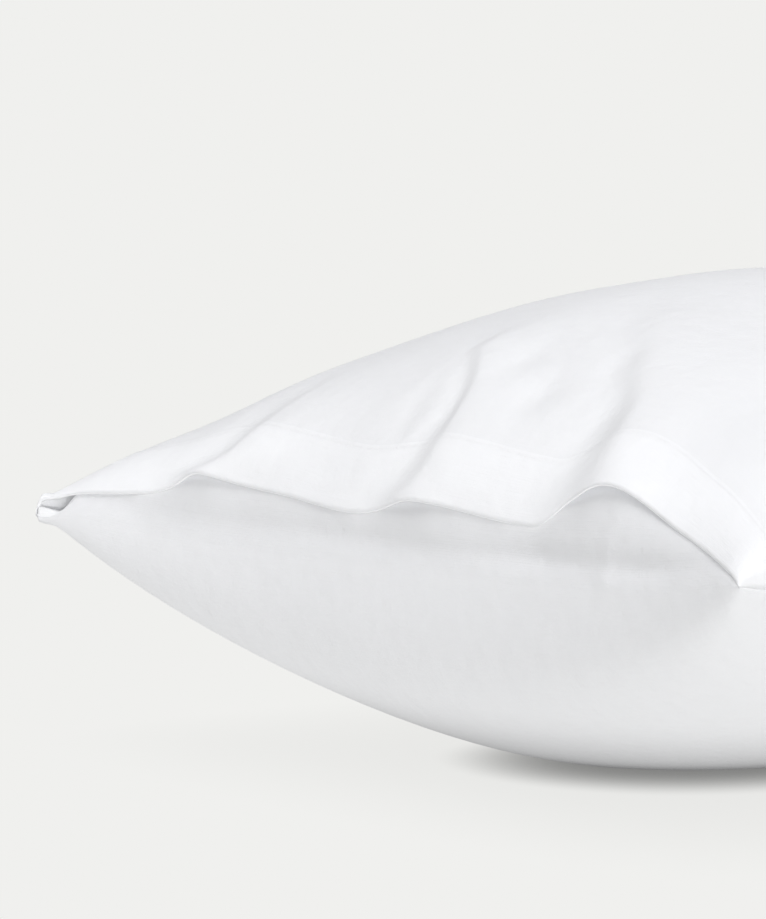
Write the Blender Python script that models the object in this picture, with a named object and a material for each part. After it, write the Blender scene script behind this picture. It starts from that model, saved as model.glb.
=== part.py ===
"""Pillowcase with a tuck-in flap, filled by its pillow and lying flat.

Metres, +Z up, the resting surface is z = 0 and the origin is under the middle of the case.
X runs along the case with the open mouth at -X, Y runs across it.
Places on the case are named by (along, across), each from -1 at one seam to +1 at the other,
or by how far they lie up the cloth from the fold at the mouth.
"""
import bpy
import bmesh
import numpy as np

# ---- sizes of the filled case ---------------------------------------------------------------
HALF_LENGTH_MIDDLE = 0.320      # mouth and closed end are drawn in at mid width
HALF_LENGTH_CORNER = 0.338
HALF_WIDTH_MIDDLE = 0.1925      # side seams are drawn in at mid length
HALF_WIDTH_CORNER = 0.230
LOFT = 0.210                    # crown height above the surface
SEAM_HEIGHT = 0.0895            # side seams above the surface at mid length
EAR_RISE = 0.0128               # corners stand this much higher than the middle of the seams
CORNER_AIR = 0.0065             # half thickness of the slack corners
BELLY_DROP = 1.08               # how far the belly would hang if the surface were not there
SETTLE = 0.0038                 # how softly the belly meets the surface

# ---- cloth ----------------------------------------------------------------------------------
CLOTH = 0.0012                  # panel thickness
HEM_DEPTH = 0.030               # turned hem along the mouth of the upper panel
HEM_EXTRA = 0.0006              # the hem is folded cloth, so it stands a little proud
SEAM_GAP = 0.0008               # the two panels stay this far apart at the seams
LAYER_GAP = 0.003               # air between the flap and the panel above it
FLAP_LENGTH = 0.150             # tuck-in flap, measured from the fold at the mouth
FLAP_MARGIN = 0.07              # the flap stops short of the side seams by this share
PILLOW_INSET = 0.010            # the pillow lies this far inside the skin of the case
PILLOW_CORNER = 0.14            # its corners stop short of the corners of the case by this share

# Free edge of the hem: where it is across the mouth, how far it lies above the fold,
# and how far it lifts off the flap.
HEM_EDGE = [
    # across, rise,   lift
    (-1.00, 0.0000, 0.0000),
    (-0.90, 0.0140, 0.0010),
    (-0.72, 0.0320, 0.0050),
    (-0.55, 0.0440, 0.0140),
    (-0.39, 0.0220, 0.0010),
    (-0.11, 0.0300, 0.0080),
    (+0.08, 0.0210, 0.0010),
    (+0.30, 0.0260, 0.0025),
    (+0.56, 0.0310, 0.0090),
    (+0.68, 0.0200, 0.0020),
    (+0.88, 0.0130, 0.0010),
    (+1.00, 0.0000, 0.0000),
]
LIFT_FADE = 0.055               # the lifts die away this far up the cloth

# Folds running up the upper panel from the dips of the hem. Each goes from its foot through
# its middle to its head; "up" is measured from the fold at the mouth.
FOLDS = [
    # foot (across, up),  middle (across, up),  head (across, up),   depth,  half width
    ((+0.02, 0.023), (-0.06, 0.066), (+0.02, 0.112), 0.0050, 0.011),
    ((-0.43, 0.040), (-0.48, 0.080), (-0.30, 0.150), 0.0065, 0.012),
    ((+0.66, 0.022), (+0.58, 0.070), (+0.50, 0.110), 0.0030, 0.012),
]

# ---- mesh steps -----------------------------------------------------------------------------
COLUMNS = 34                    # facets across the case
HEM_ROWS = [0.0, 0.010, 0.020, HEM_DEPTH - 0.0006, HEM_DEPTH + 0.0008]
BODY_ROWS = 19                  # facets from the hem stitching to the closed end
FLAP_ROWS = 8
PILLOW_ROWS, PILLOW_COLUMNS = 22, 18
FINE = 400                      # steps used when measuring along the cloth


# ---- shape of the filled case ---------------------------------------------------------------
def power(value, exponent, ease=0.12):
    """|value| to a power from 0 at the middle to 1 at the seam, with a rounded middle."""
    def raised(v):
        return (v * v + ease * ease) ** (0.5 * exponent)
    return (raised(value) - raised(0.0)) / (raised(1.0) - raised(0.0))


def swell(along, across, end_power, end_round, side_power, side_round):
    """Share of the full height at a place: 1 at the middle and 0 at every seam."""
    end = np.clip(1.0 - power(along, end_power), 0.0, 1.0) ** end_round
    side = np.clip(1.0 - power(across, side_power), 0.0, 1.0) ** side_round
    return end * side


def plan(along, across):
    x = along * (HALF_LENGTH_MIDDLE + (HALF_LENGTH_CORNER - HALF_LENGTH_MIDDLE) * np.abs(across) ** 3)
    y = across * (HALF_WIDTH_MIDDLE + (HALF_WIDTH_CORNER - HALF_WIDTH_MIDDLE) * np.abs(along) ** 3)
    seam = SEAM_HEIGHT + EAR_RISE * np.abs(along * across) ** 4
    return x, y, seam


def air(along, across):
    """Half thickness that the slack cloth keeps even in the corners."""
    edge = np.maximum(np.abs(along), np.abs(across))
    return CORNER_AIR * np.sqrt(np.clip(1.0 - edge ** 24, 0.0, 1.0))


def upper_skin(along, across):
    x, y, seam = plan(along, across)
    rise = (LOFT - SEAM_HEIGHT) * swell(along, across, 3.45, 0.49, 1.62, 0.41)
    return np.stack([x, y, seam + SEAM_GAP / 2 + np.maximum(rise, air(along, across))], axis=-1)


def lower_skin(along, across):
    x, y, seam = plan(along, across)
    drop = BELLY_DROP * SEAM_HEIGHT * swell(along, across, 3.45, 0.35, 1.62, 0.535)
    z = seam - SEAM_GAP / 2 - np.maximum(drop, air(along, across))
    settled = np.where(z > SETTLE, z, (z + SETTLE) ** 2 / (4 * SETTLE))
    return np.stack([x, y, np.where(z < -SETTLE, 0.0, settled)], axis=-1)


def spread(count, evenness=0.20):
    """Places from -1 to 1, closer together towards the seams."""
    steps = np.linspace(-1.0, 1.0, count + 1)
    return evenness * steps + (1.0 - evenness) * np.sin(0.5 * np.pi * steps)


def measured(skin, across):
    """Walk every column of a skin from the mouth to the closed end: places and lengths so far."""
    along = spread(FINE, evenness=0.0)[:, None] + 0.0 * across[None, :]
    points = skin(along, along * 0.0 + across[None, :])
    steps = np.linalg.norm(np.diff(points, axis=0), axis=2)
    return along, np.vstack([np.zeros(across.size), np.cumsum(steps, axis=0)])


def place_at(skin, across, up):
    """The (along) of each point that lies `up` along the cloth from the mouth, column by column."""
    along, length = measured(skin, across)
    return np.stack([np.interp(up[:, k], length[:, k], along[:, k]) for k in range(across.size)], axis=1)


def outward(grid, below, at_seam):
    """Unit vectors out of a grid of points; level at the seams that `at_seam` marks."""
    n = np.cross(np.gradient(grid, axis=0), np.gradient(grid, axis=1))
    n *= -1.0 if below else 1.0
    n /= np.maximum(np.linalg.norm(n, axis=2, keepdims=True), 1e-12)
    flat = n.copy()
    flat[..., 2] = 0.0
    for corner in ((0, 0), (0, -1), (-1, 0), (-1, -1)):
        flat[corner] = (*np.sign(grid[corner][:2]), 0.0)
    flat /= np.maximum(np.linalg.norm(flat, axis=2, keepdims=True), 1e-12)
    return np.where(at_seam[..., None], flat, n)


def seam_marks(shape, mouth):
    marks = np.zeros(shape, dtype=bool)
    marks[:, 0] = marks[:, -1] = marks[-1, :] = True
    if mouth:
        marks[0, :] = True
    return marks


def eased(table, column, across):
    """Smooth curve through one column of a table keyed by its first column."""
    keys = np.array([row[0] for row in table])
    values = np.array([row[column] for row in table])
    slopes = np.zeros(keys.size)
    for k in range(1, keys.size - 1):
        before = (values[k] - values[k - 1]) / (keys[k] - keys[k - 1])
        after = (values[k + 1] - values[k]) / (keys[k + 1] - keys[k])
        slopes[k] = 0.0 if before * after <= 0 else 2 * before * after / (before + after)
    slopes[0] = (values[1] - values[0]) / (keys[1] - keys[0]) * 1.5
    slopes[-1] = (values[-1] - values[-2]) / (keys[-1] - keys[-2]) * 1.5
    k = np.clip(np.searchsorted(keys, across) - 1, 0, keys.size - 2)
    gap = keys[k + 1] - keys[k]
    t = np.clip((across - keys[k]) / gap, 0.0, 1.0)
    return ((2 * t**3 - 3 * t**2 + 1) * values[k] + (t**3 - 2 * t**2 + t) * gap * slopes[k]
            + (3 * t**2 - 2 * t**3) * values[k + 1] + (t**3 - t**2) * gap * slopes[k + 1])


def fold_depth(across, up):
    """How far the folds press the upper panel in at each point."""
    total = 0.0 * up
    for foot, middle, head, depth, half_width in FOLDS:
        reach = np.clip((up - foot[1]) / (head[1] - foot[1]), 0.0, 1.0)
        bend = (middle[1] - foot[1]) / (head[1] - foot[1])
        line = np.interp(reach, [0.0, bend, 1.0], [foot[0], middle[0], head[0]])
        aside = (across - line) * HALF_WIDTH_CORNER
        beyond = np.clip(up - head[1], 0.0, None) + np.clip(foot[1] - up, 0.0, None)
        strength = np.exp(-(beyond / 0.02) ** 2) * (0.35 + 0.65 * np.sin(np.pi * np.clip(reach, 0.1, 0.9)))
        total += depth * strength * np.exp(-(aside / half_width) ** 2)
    return total


def ease_step(value):
    t = np.clip(value, 0.0, 1.0)
    return t * t * (3.0 - 2.0 * t)


# ---- solids ---------------------------------------------------------------------------------
def add_object(name, verts, faces, material, collection):
    mesh = bpy.data.meshes.new(name)
    bm = bmesh.new()
    corners = [bm.verts.new(tuple(float(c) for c in v)) for v in verts]
    for face in faces:
        bm.faces.new([corners[k] for k in face])
    bmesh.ops.recalc_face_normals(bm, faces=bm.faces[:])
    bm.to_mesh(mesh)
    bm.free()
    mesh.materials.append(material)
    obj = bpy.data.objects.new(name, mesh)
    collection.objects.link(obj)
    return obj


def grid_triangles(grid):
    """Two triangles for each square of a grid, split along its shorter diagonal.
    The four corner squares are split from their corner, so no triangle lies flat in the seam."""
    rows, columns = grid.shape[:2]
    from_corner = {(0, 0): True, (rows - 2, columns - 2): True, (0, columns - 2): False, (rows - 2, 0): False}
    triangles = []
    for r in range(rows - 1):
        for c in range(columns - 1):
            a = r * columns + c
            b, d, e = a + 1, a + columns, a + columns + 1
            falling = np.linalg.norm(grid[r + 1, c + 1] - grid[r, c])
            rising = np.linalg.norm(grid[r + 1, c] - grid[r, c + 1])
            split = from_corner.get((r, c), falling < rising)
            triangles += [(a, b, e), (a, e, d)] if split else [(a, b, d), (b, e, d)]
    return triangles


def sheet_solid(name, outer, inner, material, collection):
    """Closed sheet between an outer and an inner grid, joined by a rim round its edge."""
    rows, columns = outer.shape[:2]
    count = rows * columns
    faces = []
    for a, b, c in grid_triangles(outer):
        faces += [(a, b, c), (count + c, count + b, count + a)]
    ring = [(0, c) for c in range(columns)] + [(r, columns - 1) for r in range(1, rows)]
    ring += [(rows - 1, c) for c in range(columns - 2, -1, -1)] + [(r, 0) for r in range(rows - 2, 0, -1)]
    ids = [r * columns + c for r, c in ring]
    for k in range(len(ids)):
        a, b = ids[k], ids[(k + 1) % len(ids)]
        faces += [(b, a, count + a), (b, count + a, count + b)]
    verts = np.vstack([outer.reshape(-1, 3), inner.reshape(-1, 3)])
    return add_object(name, verts, faces, material, collection)


def row_distances(length):
    """Distances down the cloth for a column of the given length, hem rows first."""
    share = np.linspace(0.0, 1.0, BODY_ROWS + 1)[1:]
    share = 0.55 * share + 0.45 * (1 - np.cos(np.pi * share)) / 2
    first = HEM_ROWS[-1]
    return np.concatenate([HEM_ROWS, first + (length - first) * share])


def panel_rows(skin, across, start):
    _, length = measured(skin, across)
    return np.stack([start[k] + row_distances(length[-1, k] - start[k]) for k in range(across.size)], axis=1)


def top_panel(material, collection):
    across = spread(COLUMNS)
    rise, lift = eased(HEM_EDGE, 1, across), eased(HEM_EDGE, 2, across)
    up = panel_rows(upper_skin, across, rise)
    wide = up * 0.0 + across[None, :]
    base = upper_skin(place_at(upper_skin, across, up), wide)
    marks = seam_marks(up.shape, mouth=False)
    out = outward(base, False, marks)
    from_edge = up - rise[None, :]
    lifted = lift[None, :] * np.exp(-(from_edge / LIFT_FADE) ** 2)
    pressed = fold_depth(wide, up) * np.where(marks, 0.0, 1.0)
    outer = base + out * (lifted - pressed)[..., None]
    out = outward(outer, False, marks)
    inner = outer - out * CLOTH
    hem = (from_edge < HEM_DEPTH) & ~marks
    outer = outer + out * (HEM_EXTRA * hem)[..., None]
    return sheet_solid("top_panel", outer, inner, material, collection)


def bottom_panel(material, collection):
    across = spread(COLUMNS)
    rise = eased(HEM_EDGE, 1, across)
    up = panel_rows(lower_skin, across, across * 0.0)
    belly = lower_skin(place_at(lower_skin, across, up), up * 0.0 + across[None, :])[::-1]
    flap_across = across * (1.0 - FLAP_MARGIN)
    edge = np.maximum(eased(HEM_EDGE, 1, flap_across), 0.004)
    inside = np.linspace(0.06, 1.0, FLAP_ROWS - 2)
    up = np.vstack([edge * 0.4, edge * 0.9] + [edge + s * (FLAP_LENGTH - edge) for s in inside])
    wide = up * 0.0 + flap_across[None, :]
    flap = upper_skin(place_at(upper_skin, flap_across, up), wide)
    out = outward(flap, False, np.zeros(up.shape, dtype=bool))
    sink = (CLOTH + LAYER_GAP) * ease_step(up / (0.85 * edge[None, :]))
    flap = flap - out * (sink + fold_depth(wide, up))[..., None]
    belly_marks = seam_marks(belly.shape[:2], mouth=True)
    belly_out = outward(belly, False, belly_marks)
    flap_out = outward(flap, False, np.zeros(flap.shape[:2], dtype=bool))
    outer = np.concatenate([belly, flap], axis=0)
    inner = outer - np.concatenate([belly_out, flap_out], axis=0) * CLOTH
    return sheet_solid("bottom_panel", outer, inner, material, collection)


def pillow(material, collection):
    a, b = np.meshgrid(spread(PILLOW_ROWS), spread(PILLOW_COLUMNS), indexing="ij")
    along, across = a * (1 - PILLOW_CORNER * b ** 8), b * (1 - PILLOW_CORNER * a ** 8)
    rim = seam_marks(a.shape, mouth=True)
    up = np.zeros(a.shape)
    for row in range(a.shape[0]):
        places, lengths = measured(upper_skin, across[row])
        up[row] = [np.interp(along[row, k], places[:, k], lengths[:, k]) for k in range(a.shape[1])]
    seam = plan(along, across)[2]
    top, bottom = upper_skin(along, across), lower_skin(along, across)
    top = top - outward(top, False, rim) * (fold_depth(across, up) * ~rim)[..., None]
    for skin, side in ((top, 1.0), (bottom, -1.0)):
        half = np.where(rim, 0.0, side * (skin[..., 2] - seam))
        skin[..., 0] *= 1.0 - PILLOW_INSET / HALF_LENGTH_MIDDLE
        skin[..., 1] *= 1.0 - PILLOW_INSET / HALF_WIDTH_MIDDLE
        skin[..., 2] = seam + side * (np.hypot(half, PILLOW_INSET) - PILLOW_INSET)
    rows, columns = a.shape
    count = rows * columns
    verts = np.vstack([top.reshape(-1, 3), bottom.reshape(-1, 3)])
    faces = []
    for triangle in grid_triangles(top):
        if all(rim.flat[k] for k in triangle):
            continue
        faces.append(triangle[::-1])
        faces.append([k if rim.flat[k] else k + count for k in triangle])
    used = sorted({k for face in faces for k in face})
    index = {old: new for new, old in enumerate(used)}
    faces = [[index[k] for k in face] for face in faces]
    return add_object("pillow", verts[used], faces, material, collection)


def plain_material(name, colour, roughness):
    material = bpy.data.materials.new(name)
    material.use_nodes = True
    shader = material.node_tree.nodes["Principled BSDF"]
    shader.inputs["Base Color"].default_value = (*colour, 1.0)
    shader.inputs["Roughness"].default_value = roughness
    return material


def build():
    for obj in list(bpy.data.objects):
        bpy.data.objects.remove(obj, do_unlink=True)
    collection = bpy.data.collections.new("filled_pillowcase")
    bpy.context.scene.collection.children.link(collection)
    percale = plain_material("white_percale", (0.86, 0.87, 0.90), 0.85)
    ticking = plain_material("pillow_ticking", (0.82, 0.81, 0.78), 0.90)
    top_panel(percale, collection)
    bottom_panel(percale, collection)
    pillow(ticking, collection)


build()
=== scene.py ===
"""White percale pillowcase, plumply filled, lying flat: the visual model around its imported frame.

Lengths are metres. A place on the cloth is (along, across): along runs from -1 at the mouth to +1 at
the closed end, across from -1 to +1 between the side seams. "up" is the length of cloth from the fold
at the mouth, measured over the top.
"""

import math

import bpy
import numpy as np
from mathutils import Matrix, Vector


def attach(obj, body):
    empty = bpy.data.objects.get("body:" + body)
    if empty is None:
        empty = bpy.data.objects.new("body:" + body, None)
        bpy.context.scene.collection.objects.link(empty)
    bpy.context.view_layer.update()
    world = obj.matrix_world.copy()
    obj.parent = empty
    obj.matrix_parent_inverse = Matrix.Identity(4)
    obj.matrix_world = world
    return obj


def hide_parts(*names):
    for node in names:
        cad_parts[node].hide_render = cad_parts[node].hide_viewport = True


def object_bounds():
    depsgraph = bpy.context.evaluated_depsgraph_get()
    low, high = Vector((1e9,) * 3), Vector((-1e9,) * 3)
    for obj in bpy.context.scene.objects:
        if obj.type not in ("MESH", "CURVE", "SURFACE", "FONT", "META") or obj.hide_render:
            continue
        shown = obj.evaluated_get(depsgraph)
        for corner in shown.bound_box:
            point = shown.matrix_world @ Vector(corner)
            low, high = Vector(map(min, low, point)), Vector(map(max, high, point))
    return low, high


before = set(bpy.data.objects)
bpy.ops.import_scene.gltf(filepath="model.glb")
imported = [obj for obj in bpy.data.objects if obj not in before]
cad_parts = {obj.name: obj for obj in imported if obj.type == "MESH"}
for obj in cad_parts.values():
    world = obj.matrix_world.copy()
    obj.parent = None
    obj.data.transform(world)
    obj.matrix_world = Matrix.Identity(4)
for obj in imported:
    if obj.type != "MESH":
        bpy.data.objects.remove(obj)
CAD_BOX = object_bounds()

# ---- the filled case, the same sizes as its CAD solids --------------------------------------
HALF_LENGTH_CORNER, HALF_WIDTH_CORNER = CAD_BOX[1][0], CAD_BOX[1][1]
HALF_LENGTH_MIDDLE = 0.320      # mouth and closed end are drawn in at mid width
HALF_WIDTH_MIDDLE = 0.1925      # side seams are drawn in at mid length
LOFT = 0.210                    # crown height above the surface
SEAM_HEIGHT = 0.0895            # side seams above the surface at mid length
EAR_RISE = 0.0128               # corners stand this much higher than the middle of the seams
CORNER_AIR = 0.0062             # half thickness of the slack corners
AIR_BEND, AIR_OPENS = (12, 412), (24, 524)      # how sharp a corner is and how soon it opens: slack, crisp
CRISP_FROM, CRISP_OVER = 0.80, 0.15             # the left mouth corner turns crisp from here on
BELLY_DROP = 1.08               # seam heights by which the belly would hang if the surface were not there
SETTLE = 0.0038                 # how softly the belly meets the surface
END_POWER, SIDE_POWER = 3.45, 1.62              # how flat the case is along and across
UPPER_END, UPPER_SIDE = 0.49, 0.41              # how round it is at its ends and sides, above
LOWER_END, LOWER_SIDE = 0.35, 0.535             # and below

# ---- cloth ----------------------------------------------------------------------------------
PERCALE = 0.0004                # one layer of cloth
HEM_DEPTH = 0.029               # turned hem along the mouth of the upper panel
HEM_PROUD = 0.0004              # the turned hem stands this much above the single layer
PILLOW_INSET = 0.010            # the pillow lies this far inside the skin of the case
PILLOW_CORNER = 0.14            # its corners stop short of the corners of the case by this share
FLAP_SINK = 0.0008              # the flap lies this far under the upper panel
FLAP_FOLLOWS = 0.50             # how much of the ridges above it the flap takes up
FLAP_LENGTH = 0.150             # measured from the fold at the mouth
FLAP_SHARE_LEFT, FLAP_SHARE_RIGHT = 0.955, 0.975      # of the half width, at the two sides
FLAP_DEEPER = 0.003             # it lies this much further in where the panel above hides it
MOUTH_CORNER_DROP = 0.0045      # the lower panel hangs this far below the seam at the left mouth corner
DROP_FADE, DROP_FASTER_BELOW = 0.025, 4.0       # how far up that reaches, and how much less far down
UPPER_DROP, LOWER_DROP = (0.986, 0.014), (0.90, 0.09)     # where across it starts, and over what run
POCKET = 0.012                  # how far the flap's ridges lie to the right of the hem's
POCKET_SOFTER = 2.2             # and how much wider their steep side is
CASE_FLAT = (0.50, 0.75)        # cut size of the upper panel
HALF_CUT_WIDTH = CASE_FLAT[0] / 2
UNEVEN = 0.0005                 # slight rise and fall of the cloth over the filling
SEAM_PUCKER = 0.0012            # how much the side seams pucker
BESIDE_SEAM = 0.06              # ridges and hollows run out over this share of the half width
END_FADE = 0.03                 # and over this length before the closed end
WALK_STEPS = 700                # steps in which the length of a column of cloth is measured

# Free edge of the hem, a row for each peak and dip and for the curve between them
HEM_EDGE = [
    # across, rise above the fold
    (-1.00, 0.000),
    (-0.95, 0.008),
    (-0.80, 0.024),
    (-0.60, 0.038),
    (-0.50, 0.034),
    (-0.40, 0.024),
    (-0.10, 0.028),
    (+0.10, 0.022),
    (+0.30, 0.026),
    (+0.55, 0.029),
    (+0.70, 0.020),
    (+0.90, 0.011),
    (+0.95, 0.007),
    (+1.00, 0.000),
]


def power(value, exponent, ease=0.12):
    """|value| to a power from 0 at the middle to 1 at the seam, with a rounded middle."""
    def raised(v):
        return (v * v + ease * ease) ** (0.5 * exponent)
    return (raised(value) - raised(0.0)) / (raised(1.0) - raised(0.0))


def swell(along, across, end_round, side_round):
    """Share of the full height at a place: 1 at the middle and 0 at every seam."""
    end = np.clip(1.0 - power(along, END_POWER), 0.0, 1.0) ** end_round
    side = np.clip(1.0 - power(across, SIDE_POWER), 0.0, 1.0) ** side_round
    return end * side


def plan(along, across):
    """Where a place on the case lies seen from above, and the height of the seam beside it."""
    x = along * (HALF_LENGTH_MIDDLE + (HALF_LENGTH_CORNER - HALF_LENGTH_MIDDLE) * np.abs(across) ** 3)
    y = across * (HALF_WIDTH_MIDDLE + (HALF_WIDTH_CORNER - HALF_WIDTH_MIDDLE) * np.abs(along) ** 3)
    seam = SEAM_HEIGHT + EAR_RISE * np.abs(along * across) ** 4
    return x, y, seam


def air(along, across):
    """Half the gap between the layers near the seams; it opens at once at the left mouth corner."""
    crisp = step((-along - CRISP_FROM) / CRISP_OVER) * step((across - CRISP_FROM) / CRISP_OVER)
    bend, opens = (slack + (sharp - slack) * crisp for slack, sharp in (AIR_BEND, AIR_OPENS))
    edge = (np.abs(along) ** bend + np.abs(across) ** bend) ** (1 / bend)
    return CORNER_AIR * np.sqrt(np.clip(1.0 - edge ** opens, 0.0, 1.0))


def upper_skin(along, across):
    x, y, seam = plan(along, across)
    rise = (LOFT - SEAM_HEIGHT) * swell(along, across, UPPER_END, UPPER_SIDE)
    return np.stack([x, y, seam + np.maximum(rise, air(along, across))], axis=-1)


def lower_skin(along, across):
    x, y, seam = plan(along, across)
    drop = BELLY_DROP * SEAM_HEIGHT * swell(along, across, LOWER_END, LOWER_SIDE)
    z = seam - np.maximum(drop, air(along, across))
    settled = np.where(z > SETTLE, z, (z + SETTLE) ** 2 / (4 * SETTLE))
    return np.stack([x, y, np.where(z < -SETTLE, 0.0, settled)], axis=-1)


def spread(count, evenness=0.2):
    """Places from -1 to 1, closer together towards the seams."""
    steps = np.linspace(-1.0, 1.0, count + 1)
    return evenness * steps + (1.0 - evenness) * np.sin(0.5 * np.pi * steps)


def steps_between(count, evenness):
    """Places from 0 to 1, closer together towards both."""
    share = np.linspace(0.0, 1.0, count + 1)
    return evenness * share + (1.0 - evenness) * (1 - np.cos(np.pi * share)) / 2


def measured(skin, across):
    """Walk every column of a skin from the mouth to the closed end: places and lengths so far."""
    along = spread(WALK_STEPS, evenness=0.0)[:, None] + 0.0 * across[None, :]
    points = skin(along, along * 0.0 + across[None, :])
    steps = np.linalg.norm(np.diff(points, axis=0), axis=2)
    return along, np.vstack([np.zeros(across.size), np.cumsum(steps, axis=0)])


def place_at(skin, across, up):
    """The (along) of each point that lies `up` along the cloth from the mouth, column by column."""
    along, length = measured(skin, across)
    return np.stack([np.interp(up[:, k], length[:, k], along[:, k]) for k in range(across.size)], axis=1)


def outward(grid):
    """Unit vectors out of a grid of points."""
    n = np.cross(np.gradient(grid, axis=0), np.gradient(grid, axis=1))
    return n / np.maximum(np.linalg.norm(n, axis=2, keepdims=True), 1e-12)


def nested(points, seam, inset, side=1.0):
    """The same surface drawn in by `inset` all round, towards the inside of the case."""
    half = np.clip(side * (points[..., 2] - seam), 0.0, None)
    x = points[..., 0] * (1.0 - inset / HALF_LENGTH_MIDDLE)
    y = points[..., 1] * (1.0 - inset / HALF_WIDTH_MIDDLE)
    return np.stack([x, y, seam + side * (np.hypot(half, inset) - inset)], axis=-1)


def eased(table, column, key):
    """A table's column at any value of its first column, on a smooth curve that never overshoots."""
    keys = np.array([row[0] for row in table])
    values = np.array([row[column] for row in table])
    slopes = np.zeros(keys.size)
    for k in range(1, keys.size - 1):
        before = (values[k] - values[k - 1]) / (keys[k] - keys[k - 1])
        after = (values[k + 1] - values[k]) / (keys[k + 1] - keys[k])
        slopes[k] = 0.0 if before * after <= 0 else 2 * before * after / (before + after)
    slopes[0] = (values[1] - values[0]) / (keys[1] - keys[0]) * 1.5
    slopes[-1] = (values[-1] - values[-2]) / (keys[-1] - keys[-2]) * 1.5
    k = np.clip(np.searchsorted(keys, key) - 1, 0, keys.size - 2)
    gap = keys[k + 1] - keys[k]
    t = np.clip((key - keys[k]) / gap, 0.0, 1.0)
    return ((2 * t**3 - 3 * t**2 + 1) * values[k] + (t**3 - 2 * t**2 + t) * gap * slopes[k]
            + (3 * t**2 - 2 * t**3) * values[k + 1] + (t**3 - t**2) * gap * slopes[k + 1])


def step(value):
    """Rises smoothly from 0 to 1 as the value does."""
    t = np.clip(value, 0.0, 1.0)
    return t * t * (3.0 - 2.0 * t)


# ---- creases placed one by one --------------------------------------------------------------
# A ridge runs up the panel from each peak of the hem. Its left side (towards +across) is steep and
# its right side falls away gently. It goes from its foot by its bends to its head.
RIDGES = [
    [
        # up, across, height, steep, gentle
        (0.030, +0.55, 0.0060, 0.016, 0.022),
        (0.045, +0.47, 0.0055, 0.013, 0.026),
        (0.065, +0.45, 0.0030, 0.012, 0.030),
        (0.085, +0.43, 0.0012, 0.012, 0.030),
    ],
    [
        (0.030, -0.08, 0.0050, 0.016, 0.024),
        (0.045, -0.11, 0.0045, 0.012, 0.026),
        (0.075, -0.09, 0.0033, 0.006, 0.028),
        (0.110, +0.03, 0.0015, 0.006, 0.020),
    ],
    [
        (0.040, -0.60, 0.0085, 0.022, 0.026),
        (0.065, -0.55, 0.0062, 0.013, 0.034),
        (0.085, -0.51, 0.0042, 0.011, 0.036),
        (0.105, -0.44, 0.0030, 0.011, 0.034),
        (0.155, -0.26, 0.0010, 0.013, 0.030),
    ],
]
RIDGE_SIDE_HOLLOW = 0.22        # the hollow beside a ridge, as a share of its height
RIDGE_FADE = 0.02               # a ridge dies away over this length beyond its head


def ridge_height(across, up, lag=0.0, softer=1.0):
    """How far the ridges lift the cloth; `lag` moves them right and `softer` widens their steep side."""
    total = 0.0 * up
    for crest in RIDGES:
        middle, height, steep, gentle = (eased(crest, column, up) for column in (1, 2, 3, 4))
        aside = (across - middle) * HALF_WIDTH_CORNER + lag
        steep = steep * softer
        left = np.exp(-(aside / steep) ** 2) - RIDGE_SIDE_HOLLOW * np.exp(-(aside / steep - 1.9) ** 2)
        right = np.exp(-(aside / gentle) ** 2) - RIDGE_SIDE_HOLLOW * np.exp(-1.9 ** 2)
        beyond = np.clip(up - crest[-1][0], 0.0, None)
        total += height * np.where(aside > 0, left, right) * np.exp(-(beyond / RIDGE_FADE) ** 2)
    return total


# Soft hollows pressed into the upper panel
HOLLOWS = [
    # across, up, depth, half sizes across and up
    (-0.24, 0.085, 0.0019, 0.011, 0.014),
    (-0.11, 0.105, 0.0009, 0.008, 0.012),
    (-0.34, 0.115, 0.0008, 0.010, 0.018),
    (+0.06, 0.068, 0.0012, 0.008, 0.016),
]


def corner_drop(across, up, start, run):
    """How far the cloth hangs below the line of the seam at the left mouth corner."""
    return MOUTH_CORNER_DROP * step((across - start) / run) * np.exp(-(up / DROP_FADE) ** 2)


# Creases of the flap just above the fold; a depth below 0 is a small ridge
FLAP_CREASES = [
    # across, up, depth, half sizes across and up
    (-0.72, 0.0105, +0.0024, 0.026, 0.0045),
    (-0.62, 0.0120, -0.0007, 0.005, 0.0090),
    (-0.46, 0.0120, +0.0022, 0.030, 0.0045),
    (-0.10, 0.0105, +0.0010, 0.060, 0.0045),
    (+0.30, 0.0120, +0.0008, 0.070, 0.0050),
    (+0.73, 0.0090, +0.0008, 0.012, 0.0060),
]


def hollow_depth(table, across, up):
    total = 0.0 * up
    for middle, level, depth, wide, long in table:
        aside = (across - middle) * HALF_WIDTH_CORNER
        total += depth * np.exp(-(aside / wide) ** 2 - ((up - level) / long) ** 2)
    return total


def drift(a, b, seed, waves, shortest, longest):
    """Slow uneven rise and fall over two lengths, about -1 to 1."""
    rng = np.random.default_rng(seed)
    total = 0.0 * a
    for _ in range(waves):
        turn = rng.uniform(0, math.pi)
        wave = rng.uniform(shortest, longest)
        start = rng.uniform(0, 2 * math.pi)
        total = total + np.sin(2 * math.pi * (a * math.cos(turn) + b * math.sin(turn)) / wave + start)
    return total / math.sqrt(waves)


def unevenness(y, up):
    return UNEVEN * drift(y, up, 11, 9, 0.05, 0.13)


def seam_pull(points, seam, run):
    """How far the sewn edge draws the cloth in (+) or lets it out, fading with distance from it.
    `run` is how far along the seam each point is."""
    off = np.abs(points[..., 2] - seam)
    short, long = drift(run, run * 0.0, 3, 5, 0.016, 0.030), drift(run, run * 0.0, 4, 3, 0.05, 0.11)
    pucker = SEAM_PUCKER * (0.6 * short + 0.4 * long)
    sewn = step((points[..., 0] + 0.5 * (HALF_LENGTH_CORNER + HALF_LENGTH_MIDDLE)) / 0.06)
    tight, wide = np.exp(-(off / 0.0025) ** 1.5), np.exp(-(off / 0.014) ** 2)
    return sewn * (0.0003 * tight + (0.0004 + pucker) * wide)


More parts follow.
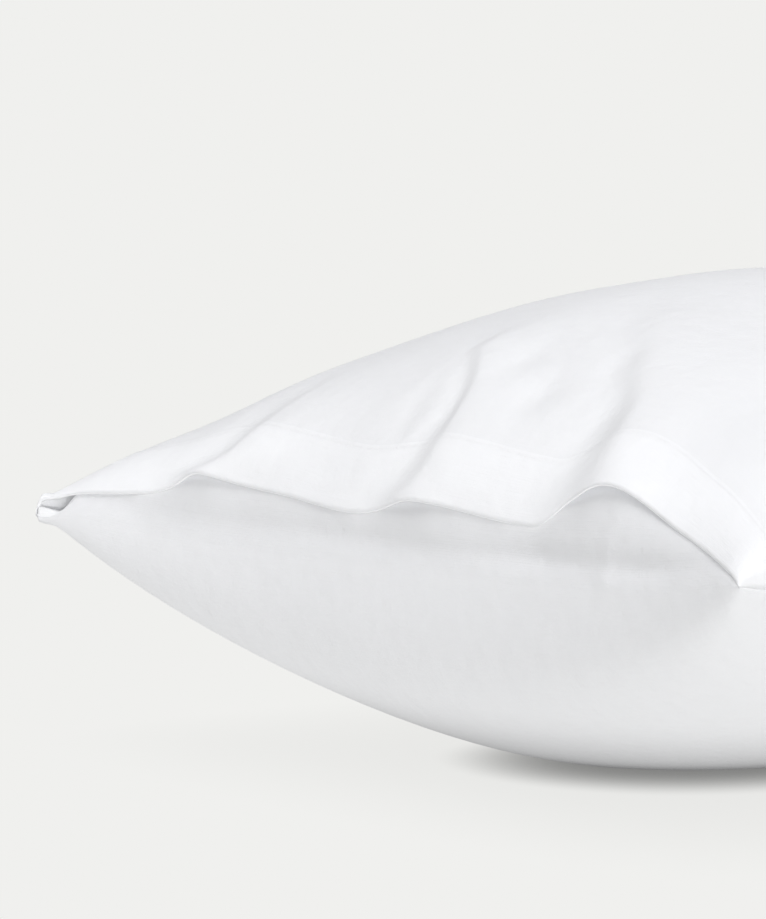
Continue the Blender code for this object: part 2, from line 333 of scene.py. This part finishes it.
def draw_in(points, base, seam, along, across, ends=1.0):
    """Let the sewn seams pull at a sheet. `ends` is 0 where its end isn't sewn."""
    pull = seam_pull(base, seam, base[..., 0] + 0.7 * base[..., 1])
    points[..., 0] -= ends * pull * np.sign(points[..., 0]) * np.abs(along) ** 8
    points[..., 1] -= pull * np.sign(points[..., 1]) * np.abs(across) ** 8


# ---- building meshes ------------------------------------------------------------------------
def piece(name, verts, faces, material, uv=None, inside=None):
    mesh = bpy.data.meshes.new(name)
    mesh.from_pydata([tuple(map(float, v)) for v in verts], [], faces)
    mesh.validate()
    mesh.shade_smooth()
    if uv is not None:
        layer = mesh.uv_layers.new(name="cloth")
        loops = np.empty(len(mesh.loops), dtype=np.int64)
        mesh.loops.foreach_get("vertex_index", loops)
        layer.data.foreach_set("uv", uv[loops].astype(np.float32).ravel())
    if inside is not None:
        attribute = mesh.attributes.new("inside", "FLOAT", "POINT")
        attribute.data.foreach_set("value", inside.astype(np.float32))
    mesh.materials.append(material)
    obj = bpy.data.objects.new(name, mesh)
    bpy.context.scene.collection.objects.link(obj)
    return obj


def sheet_mesh(name, outer, inner, uv, material, tucked=None, painted_glow_share=1.0):
    """A sheet's outer and inner faces joined round their edge. `tucked` is 1 where the outer face is itself
    under another layer; the last argument is how much of the painted light, a lighter colour and a glow
    standing in for light that comes through the cloth, reaches the inner face. The tucked places get the
    same painted light."""
    rows, columns = outer.shape[:2]
    count = rows * columns
    index = np.arange(count).reshape(rows, columns)
    a, b = index[:-1, :-1].ravel(), index[:-1, 1:].ravel()
    c, d = index[1:, 1:].ravel(), index[1:, :-1].ravel()
    faces = np.stack([d, c, b, a], axis=1).tolist()
    faces += (np.stack([a, b, c, d], axis=1) + count).tolist()
    ring = list(index[0, :]) + list(index[1:, -1]) + list(index[-1, -2::-1]) + list(index[-2:0:-1, 0])
    for k in range(len(ring)):
        p, q = int(ring[k]), int(ring[(k + 1) % len(ring)])
        faces.append([p, q, count + q, count + p])
    verts = np.vstack([outer.reshape(-1, 3), inner.reshape(-1, 3)])
    tucked = np.zeros(count) if tucked is None else tucked.ravel()
    # The `inside` attribute carries the painted light of tucked places and inner faces.
    inside = np.concatenate([tucked, np.full(count, painted_glow_share)])
    return piece(name, verts, faces, material, np.vstack([uv.reshape(-1, 2)] * 2), inside)


# ---- materials ------------------------------------------------------------------------------
WHITE = (0.865, 0.87, 0.895)
PAINTED_LIGHT_WHITE = (0.93, 0.935, 0.95)      # painted light: lighter white of inner faces and tucked places
PAINTED_GLOW = 0.11              # painted glow on inner faces and tucked places, standing in for light that comes through one layer of cloth to its inner face
LOWER_PAINTED_GLOW = 0.3         # share of that painted light that the inner face of the lower panel gets
TICKING, TICKING_PALE = (0.80, 0.79, 0.76), (0.84, 0.83, 0.80)
YARN = 0.0005                   # from one yarn of the plain weave to the next
STITCH_LINE, STITCH_LENGTH, STITCH_WIDTH = 0.0275, 0.0030, 0.0005
STITCH_SHOWS = 0.72             # share of each stitch that lies on top
HEM_WHITER = 1.037              # two layers let less light through
# Painted shade: the belly's colour is darkened where the floor lies within this reach, fading at this power,
# by at most this share
NEAR_FLOOR, NEAR_FLOOR_FADE, NEAR_FLOOR_MOST = 0.042, 2.4, 0.58
NEAR_FLOOR_LEAN = 0.6           # the painted shade near the floor is this much deeper at the left side seam
NEAR_FLOOR_BELOW = 0.02         # it starts this far below the fold at the mouth
CLOTH_SAMPLES, FLOOR_SAMPLES = 8, 24        # of the occlusion on the cloth and on the floor
FLAP_SHADE, FLAP_SHADE_RUN = 0.11, 0.014    # painted shade: the flap's colour is darker by this share from this far above the fold on, as if in the shade of the panel above it


class Nodes:
    """A material's node tree, built by short calls; a socket or a number may be given as input."""

    def __init__(self, name):
        self.material = bpy.data.materials.new(name)
        self.material.use_nodes = True
        self.tree = self.material.node_tree
        self.shader = self.tree.nodes["Principled BSDF"]

    def feed(self, socket, value):
        if hasattr(value, "links"):
            self.tree.links.new(value, socket)
        else:
            socket.default_value = value

    def math(self, operation, *inputs):
        node = self.tree.nodes.new("ShaderNodeMath")
        node.operation = operation
        for socket, value in zip(node.inputs, inputs):
            self.feed(socket, value)
        return node.outputs[0]

    def vector(self, operation, a, b):
        node = self.tree.nodes.new("ShaderNodeVectorMath")
        node.operation = operation
        self.feed(node.inputs[0], a)
        self.feed(node.inputs[3 if operation == "SCALE" else 1], b)
        return node.outputs["Vector"]

    def noise(self, where, scale, detail=2.0):
        node = self.tree.nodes.new("ShaderNodeTexNoise")
        self.feed(node.inputs["Vector"], self.vector("MULTIPLY", where, scale))
        node.inputs["Scale"].default_value, node.inputs["Detail"].default_value = 1.0, detail
        return node.outputs["Fac"]

    def mixed(self, share, a, b):
        node = self.tree.nodes.new("ShaderNodeMix")
        node.data_type = "RGBA"
        for name, value in (("Factor", share), ("A", a), ("B", b)):
            socket = next(q for q in node.inputs if q.name == name and q.enabled)
            self.feed(socket, value)
        return next(q for q in node.outputs if q.enabled)

    def bump(self, height, distance, strength=1.0, under=None):
        node = self.tree.nodes.new("ShaderNodeBump")
        node.inputs["Strength"].default_value, node.inputs["Distance"].default_value = strength, distance
        self.feed(node.inputs["Height"], height)
        if under is not None:
            self.feed(node.inputs["Normal"], under)
        return node.outputs["Normal"]

    def hidden(self, reach, fade, samples):
        """Share of the open air within `reach` that something takes up, to the power `fade`."""
        node = self.tree.nodes.new("ShaderNodeAmbientOcclusion")
        node.samples = samples
        node.inputs["Distance"].default_value = reach
        return self.math("POWER", self.math("SUBTRACT", 1.0, node.outputs["AO"]), fade)


def plain_weave(n, u, v, where):
    """Height of a plain weave: each yarn is round and rides over one crossing and under the next."""
    turns = [n.math("MULTIPLY", q, math.pi / YARN) for q in (u, v)]
    across, along = [n.math("ABSOLUTE", n.math("SINE", q)) for q in turns]
    checker = n.tree.nodes.new("ShaderNodeTexChecker")
    n.feed(checker.inputs["Vector"], where)
    checker.inputs["Scale"].default_value = 1.0 / YARN
    over = checker.outputs["Fac"]
    warp = n.math("MULTIPLY", across, n.math("MULTIPLY_ADD", along, 0.5, 0.5))
    weft = n.math("MULTIPLY", along, n.math("MULTIPLY_ADD", across, 0.5, 0.5))
    under = n.math("SUBTRACT", 1.0, over)
    return n.math("ADD", n.math("MULTIPLY", warp, over), n.math("MULTIPLY", weft, under))


def cloth_look(n, colour, roughness, normal, sheen):
    n.feed(n.shader.inputs["Base Color"], colour)
    n.feed(n.shader.inputs["Roughness"], roughness)
    n.feed(n.shader.inputs["Normal"], normal)
    n.shader.inputs["Specular IOR Level"].default_value = 0.2
    n.shader.inputs["Sheen Weight"].default_value = sheen
    n.shader.inputs["Sheen Roughness"].default_value = 0.5
    return n.material


def percale_material(name, hemmed):
    n = Nodes(name)
    coordinates = n.tree.nodes.new("ShaderNodeTexCoord")
    where = coordinates.outputs["UV"]
    split = n.tree.nodes.new("ShaderNodeSeparateXYZ")
    n.feed(split.inputs[0], where)
    u, v = split.outputs[0], split.outputs[1]
    slubs = n.math("ADD", n.noise(where, (1800.0, 45.0, 1.0)), n.noise(where, (45.0, 1800.0, 1.0)))
    rumple = n.noise(where, (85.0, 85.0, 1.0), 3.0)
    cloud = n.noise(where, (14.0, 14.0, 1.0), 3.0)
    yarns = n.math("MULTIPLY_ADD", slubs, 0.016, 0.984)
    tone = n.math("ADD", yarns, n.math("MULTIPLY_ADD", cloud, 0.020, -0.010))
    normal = n.bump(rumple, 0.0007)
    normal = n.bump(slubs, 0.00010, under=normal)
    if hemmed:
        band = n.math("LESS_THAN", v, HEM_DEPTH + 0.0006)
        tone = n.math("MULTIPLY", tone, n.math("MULTIPLY_ADD", band, HEM_WHITER - 1.0, 1.0))
        beside = n.math("ABSOLUTE", n.math("SUBTRACT", v, STITCH_LINE))
        stitches = n.math("DIVIDE", n.math("ADD", u, 1.0), STITCH_LENGTH)
        dash = n.math("LESS_THAN", n.math("FRACT", stitches), STITCH_SHOWS)
        thread = n.math("MULTIPLY", n.math("LESS_THAN", beside, STITCH_WIDTH / 2), dash)
        trough = n.math("SUBTRACT", 1.0, n.math("MINIMUM", n.math("DIVIDE", beside, 4 * STITCH_WIDTH), 1.0))
        sewn = n.math("SUBTRACT", thread, n.math("MULTIPLY", trough, 0.8))
        normal = n.bump(sewn, 0.00016, under=normal)
        bare = n.math("SUBTRACT", 1.0, thread)
        # Painted shade: the cloth is made a little darker in the trough beside the stitch line.
        tone = n.math("SUBTRACT", tone, n.math("MULTIPLY", n.math("MULTIPLY", trough, 0.010), bare))
    else:
        # Painted shade: the belly's colour darkens near the floor, more towards the left side seam.
        hidden = n.hidden(NEAR_FLOOR, NEAR_FLOOR_FADE, CLOTH_SAMPLES)
        belly = n.math("LESS_THAN", v, -NEAR_FLOOR_BELOW)
        lean = n.math("MULTIPLY_ADD", u, NEAR_FLOOR_LEAN / HALF_CUT_WIDTH, 1.0)
        most = n.math("MULTIPLY", lean, NEAR_FLOOR_MOST)
        shade = n.math("MULTIPLY", n.math("MULTIPLY", hidden, most), belly)
        tone = n.math("MULTIPLY", tone, n.math("SUBTRACT", 1.0, shade))
        # Painted shade: the flap's colour darkens from the fold up and stays darker over the rest of the
        # flap.
        flap = n.math("MINIMUM", n.math("MAXIMUM", n.math("DIVIDE", v, FLAP_SHADE_RUN), 0.0), 1.0)
        tone = n.math("MULTIPLY", tone, n.math("SUBTRACT", 1.0, n.math("MULTIPLY", flap, FLAP_SHADE)))
    normal = n.bump(plain_weave(n, u, v, where), 0.00006, 0.6, under=normal)
    # Painted light: where the `inside` attribute is set, the cloth is lighter and glows, standing in for
    # light that comes through the layers.
    inside = n.tree.nodes.new("ShaderNodeAttribute")
    inside.attribute_name = "inside"
    white = n.mixed(inside.outputs["Fac"], (*WHITE, 1.0), (*PAINTED_LIGHT_WHITE, 1.0))
    roughness = n.math("MULTIPLY_ADD", cloud, 0.10, 0.80)
    n.feed(n.shader.inputs["Emission Color"], white)
    n.feed(n.shader.inputs["Emission Strength"], n.math("MULTIPLY", inside.outputs["Fac"], PAINTED_GLOW))
    return cloth_look(n, n.vector("SCALE", white, tone), roughness, normal, 0.10)


def ticking_material(name):
    """The pillow's own cotton twill: fine slanting ribs."""
    n = Nodes(name)
    coordinates = n.tree.nodes.new("ShaderNodeTexCoord")
    where = coordinates.outputs["Object"]
    ribs = n.tree.nodes.new("ShaderNodeTexWave")
    ribs.bands_direction = "DIAGONAL"
    n.feed(ribs.inputs["Vector"], where)
    ribs.inputs["Scale"].default_value, ribs.inputs["Distortion"].default_value = 260.0, 0.4
    cloud = n.noise(where, (18.0, 18.0, 18.0), 3.0)
    cotton = n.mixed(cloud, (*TICKING, 1.0), (*TICKING_PALE, 1.0))
    colour = n.vector("SCALE", cotton, n.math("MULTIPLY_ADD", ribs.outputs["Fac"], 0.05, 0.95))
    normal = n.bump(ribs.outputs["Fac"], 0.00012, under=n.bump(cloud, 0.002))
    return cloth_look(n, colour, n.math("MULTIPLY_ADD", cloud, 0.10, 0.82), normal, 0.15)


percale = percale_material("percale_top", hemmed=True)
percale_low = percale_material("percale_bottom", hemmed=False)
ticking = ticking_material("ticking")

# ---- upper panel ----------------------------------------------------------------------------
COLUMNS = 260
MOUTH_ROWS, MOUTH_REACH = 84, 0.16          # rows are close together up to here from the hem's edge
BODY_ROWS = 98
HEM_STEP = 0.0012               # length over which the turned hem's thickness ends


def row_distances(length):
    first = np.linspace(0.0, MOUTH_REACH, MOUTH_ROWS + 1)
    return np.concatenate([first, MOUTH_REACH + (length - MOUTH_REACH) * steps_between(BODY_ROWS, 0.6)[1:]])


def upper_surface(across, up, wide, length):
    """Outer face of the upper panel without its hem's thickness, and the height of its seam."""
    along = place_at(upper_skin, across, up)
    base, seam = upper_skin(along, wide), plan(along, wide)[2]
    out = outward(base)
    inside = step((1 - np.abs(wide)) / BESIDE_SEAM) * step((length[None, :] - up) / END_FADE)
    move = (ridge_height(wide, up) - hollow_depth(HOLLOWS, wide, up)) * inside
    move = move + unevenness(base[..., 1], up) * inside
    outer = base + out * move[..., None]
    draw_in(outer, base, seam, along, wide)
    outer[..., 2] -= corner_drop(wide, up, *UPPER_DROP)
    return outer, seam


def build_upper():
    across = spread(COLUMNS, evenness=0.04)
    rise = eased(HEM_EDGE, 1, across)
    length = measured(upper_skin, across)[1][-1]
    up = np.stack([rise[k] + row_distances(length[k] - rise[k]) for k in range(across.size)], axis=1)
    wide = up * 0.0 + across[None, :]
    outer, seam = upper_surface(across, up, wide, length)
    inner = nested(outer, seam, PERCALE)
    from_edge = up - rise[None, :]
    hem = (1.0 - step((from_edge - HEM_DEPTH) / HEM_STEP)) * step((1 - np.abs(wide)) / 0.004)
    outer = outer + outward(outer) * (HEM_PROUD * hem)[..., None]
    uv = np.stack([wide * HALF_CUT_WIDTH, from_edge], axis=-1)
    return sheet_mesh("upper_panel", outer, inner, uv, percale)


# ---- lower panel: the belly, the fold at the mouth and the flap tucked in over the pillow ----
BELLY_ROWS, FLAP_ROWS = 110, 70
NARROW_OVER = 0.010             # the flap is as narrow as it gets from this far above the fold on
LEAST_RISE = 0.004              # the hem's rise is taken as no less than this where the flap is shared out
FOLD_OPEN, FOLD_OPEN_FADE = 0.030, 0.020        # the fold stays open at the left corner up to here
TUCKED_FROM, TUCKED_RUN = 0.85, 0.30            # shares of the hem's rise from which the flap is hidden and gets the painted light


def belly_faces(across):
    """Outer and inner face of the belly and how far each place lies from the fold."""
    length = measured(lower_skin, across)[1][-1]
    down = steps_between(BELLY_ROWS, 0.7)[:, None] * length[None, :]
    wide = down * 0.0 + across[None, :]
    along = place_at(lower_skin, across, down)
    outer, seam = lower_skin(along, wide), plan(along, wide)[2]
    draw_in(outer, outer, seam, along, wide, ends=np.where(along > 0, 1.0, 0.0))
    inner = nested(outer, seam, PERCALE, -1.0)
    for face in (outer, inner):
        face[..., 2] -= corner_drop(wide, DROP_FASTER_BELOW * down, *LOWER_DROP)
    return outer, inner, down


def flap_faces(across):
    """Outer and inner face of the flap, how far each place lies from the fold, and where it is tucked in."""
    flap_across = across * np.where(across > 0, FLAP_SHARE_LEFT, FLAP_SHARE_RIGHT)
    edge = np.maximum(eased(HEM_EDGE, 1, flap_across), LEAST_RISE)[None, :]
    up = np.linspace(0.0, 1.0, FLAP_ROWS + 1)[1:, None] * FLAP_LENGTH + 0.0 * flap_across[None, :]
    wide = across[None, :] + (flap_across - across)[None, :] * step(up / NARROW_OVER)
    along = place_at(upper_skin, flap_across, up)
    base, seam = upper_skin(along, wide), plan(along, wide)[2]
    ridges = np.minimum(ridge_height(wide, up), ridge_height(wide, up, POCKET, POCKET_SOFTER))
    sink = FLAP_SINK * step(up / (1.1 * edge)) + FLAP_DEEPER * step((up - edge - 0.008) / 0.02)
    sink = sink + hollow_depth(HOLLOWS, wide, up) + hollow_depth(FLAP_CREASES, wide, up)
    sink = sink - FLAP_FOLLOWS * ridges * step((up / edge - 0.2) / 0.8)
    sink = sink - unevenness(base[..., 1], up) * step((1 - np.abs(wide)) / BESIDE_SEAM) * step(up / edge)
    outer = base - outward(base) * sink[..., None]
    drop = step((wide - 0.90) / 0.08) * step((FOLD_OPEN - up) / FOLD_OPEN_FADE) * air(along, wide)
    outer[..., 2] -= drop + corner_drop(wide, up, *LOWER_DROP)
    return outer, nested(outer, seam, PERCALE), up, step((up / edge - TUCKED_FROM) / TUCKED_RUN)


def build_lower():
    across = spread(COLUMNS, evenness=0.04)
    belly, belly_in, down = belly_faces(across)
    flap, flap_in, up, tucked = flap_faces(across)
    outer = np.concatenate([belly[::-1], flap], axis=0)
    inner = np.concatenate([belly_in[::-1], flap_in], axis=0)
    run = np.concatenate([-down[::-1], up], axis=0)
    uv = np.stack([run * 0.0 + across[None, :] * HALF_CUT_WIDTH, run], axis=-1)
    # Tucked places and the inner face get the painted light.
    tucked = np.concatenate([0.0 * down, tucked], axis=0)
    return sheet_mesh("lower_panel", outer, inner, uv, percale_low, tucked, LOWER_PAINTED_GLOW)


# ---- pillow ---------------------------------------------------------------------------------
PILLOW_ROWS, PILLOW_COLUMNS = 90, 70


def build_pillow():
    a, b = np.meshgrid(spread(PILLOW_ROWS), spread(PILLOW_COLUMNS), indexing="ij")
    along, across = a * (1 - PILLOW_CORNER * b ** 8), b * (1 - PILLOW_CORNER * a ** 8)
    rim = np.zeros(a.shape, dtype=bool)
    rim[0, :] = rim[-1, :] = rim[:, 0] = rim[:, -1] = True
    seam = plan(along, across)[2]
    top, bottom = upper_skin(along, across), lower_skin(along, across)
    for skin in (top, bottom):
        skin[..., 2] = np.where(rim, seam, skin[..., 2])
    top, bottom = nested(top, seam, PILLOW_INSET), nested(bottom, seam, PILLOW_INSET, -1.0)
    rows, columns = a.shape
    count = rows * columns
    index = np.arange(count).reshape(rows, columns)
    lower = np.where(rim, index, index + count)
    faces = []
    for grid, flip in ((index, False), (lower, True)):
        corners = [grid[:-1, :-1], grid[:-1, 1:], grid[1:, 1:], grid[1:, :-1]]
        quads = np.stack(corners, axis=-1).reshape(-1, 4)
        faces += (quads if flip else quads[:, ::-1]).tolist()
    verts = np.vstack([top.reshape(-1, 3), bottom.reshape(-1, 3)])
    used = sorted({k for face in faces for k in face})
    renumber = {old: new for new, old in enumerate(used)}
    faces = [[renumber[k] for k in face] for face in faces]
    return piece("pillow_form", verts[used], faces, ticking)


# ---- pieces in the frame --------------------------------------------------------------------
upper = build_upper()
lower = build_lower()
pillow = build_pillow()
for obj, node, slot in ((upper, "top_panel", "percale_top"), (lower, "bottom_panel", "percale_bottom"),
                        (pillow, "pillow", "pillow_ticking")):
    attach(obj, "root")
    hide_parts(node)

# ---- floor, light and camera ----------------------------------------------------------------
BACKGROUND = (0.871, 0.871, 0.855)
FLOOR_REACH = 60.0              # metres to every side
DOME = 0.345                    # radiance overhead
SKYLINE = (0.10, 0.30)          # heights between which the background passes into the dome
CAMERA_AIM = (0.0, 0.0, 0.0943)
CAMERA_DISTANCE, CAMERA_LENS = 1.6031, 137.2
CAMERA_FROM, CAMERA_BACK = (-46.062, 4.542), (-36.942, 3.621)     # azimuth and elevation, degrees
# Soft lamps: name, azimuth, elevation, radiance they add to white cloth face on, width in degrees
LAMPS = [("overhead_key", -35.0, 68.0, 0.555, 50.0), ("low_side_fill", -22.0, 5.0, 0.33, 14.0)]
# Painted shadow on the glowing floor: how far up it looks for what hangs over it, how fast it fades, how
# dark it gets
FLOOR_SHADE = [(0.014, 2.0, 0.72), (0.080, 1.2, 0.08)]


def floor_material():
    n = Nodes("pale_floor")
    strength = 1.0
    # The floor glows evenly; its shadow near the case is painted into the glow.
    for reach, fade, most in FLOOR_SHADE:
        shade = n.math("MULTIPLY_ADD", n.hidden(reach, fade, FLOOR_SAMPLES), -most, 1.0)
        strength = n.math("MULTIPLY", strength, shade)
    glow = n.tree.nodes.new("ShaderNodeEmission")
    n.feed(glow.inputs["Color"], (*BACKGROUND, 1.0))
    n.feed(glow.inputs["Strength"], strength)
    n.feed(n.tree.nodes["Material Output"].inputs["Surface"], glow.outputs[0])
    n.tree.nodes.remove(n.shader)
    return n.material


def stage_floor():
    mesh = bpy.data.meshes.new("floor")
    size = FLOOR_REACH
    corners = [(-size, -size, 0), (size, -size, 0), (size, size, 0), (-size, size, 0)]
    mesh.from_pydata(corners, [], [(0, 1, 2, 3)])
    mesh.materials.append(floor_material())
    floor = bpy.data.objects.new("floor", mesh)
    bpy.context.scene.collection.objects.link(floor)


def direction(azimuth, elevation):
    a, e = math.radians(azimuth), math.radians(elevation)
    return Vector((math.sin(a) * math.cos(e), -math.cos(a) * math.cos(e), math.sin(e)))


def sun(name, azimuth, elevation, strength, width):
    light = bpy.data.lights.new(name, "SUN")
    light.energy, light.angle = strength, math.radians(width)
    obj = bpy.data.objects.new(name, light)
    obj.rotation_euler = direction(azimuth, elevation).to_track_quat("Z", "Y").to_euler()
    bpy.context.scene.collection.objects.link(obj)


stage_floor()
world = bpy.data.worlds.new("studio")
world.use_nodes = True
sky = world.node_tree
where = sky.nodes.new("ShaderNodeTexCoord")
height = sky.nodes.new("ShaderNodeSeparateXYZ")
ramp = sky.nodes.new("ShaderNodeValToRGB")
low, high = ramp.color_ramp.elements
low.position, low.color = SKYLINE[0], (*BACKGROUND, 1.0)
high.position, high.color = SKYLINE[1], (DOME, DOME, DOME, 1.0)
sky.links.new(where.outputs["Generated"], height.inputs[0])
sky.links.new(height.outputs["Z"], ramp.inputs["Fac"])
sky.links.new(ramp.outputs["Color"], sky.nodes["Background"].inputs["Color"])
bpy.context.scene.world = world
for name, azimuth, elevation, radiance, width in LAMPS:
    sun(name, azimuth, elevation, math.pi * radiance, width)
bpy.context.scene.view_settings.view_transform = "Standard"

camera = bpy.data.cameras.new("camera")
camera.lens, camera.sensor_width, camera.clip_end = CAMERA_LENS, 36.0, 200.0
eye = bpy.data.objects.new("camera", camera)
eye.location = Vector(CAMERA_AIM) + CAMERA_DISTANCE * direction(*CAMERA_FROM)
eye.rotation_euler = direction(*CAMERA_BACK).to_track_quat("Z", "Y").to_euler()
bpy.context.scene.collection.objects.link(eye)
bpy.context.scene.camera = eye
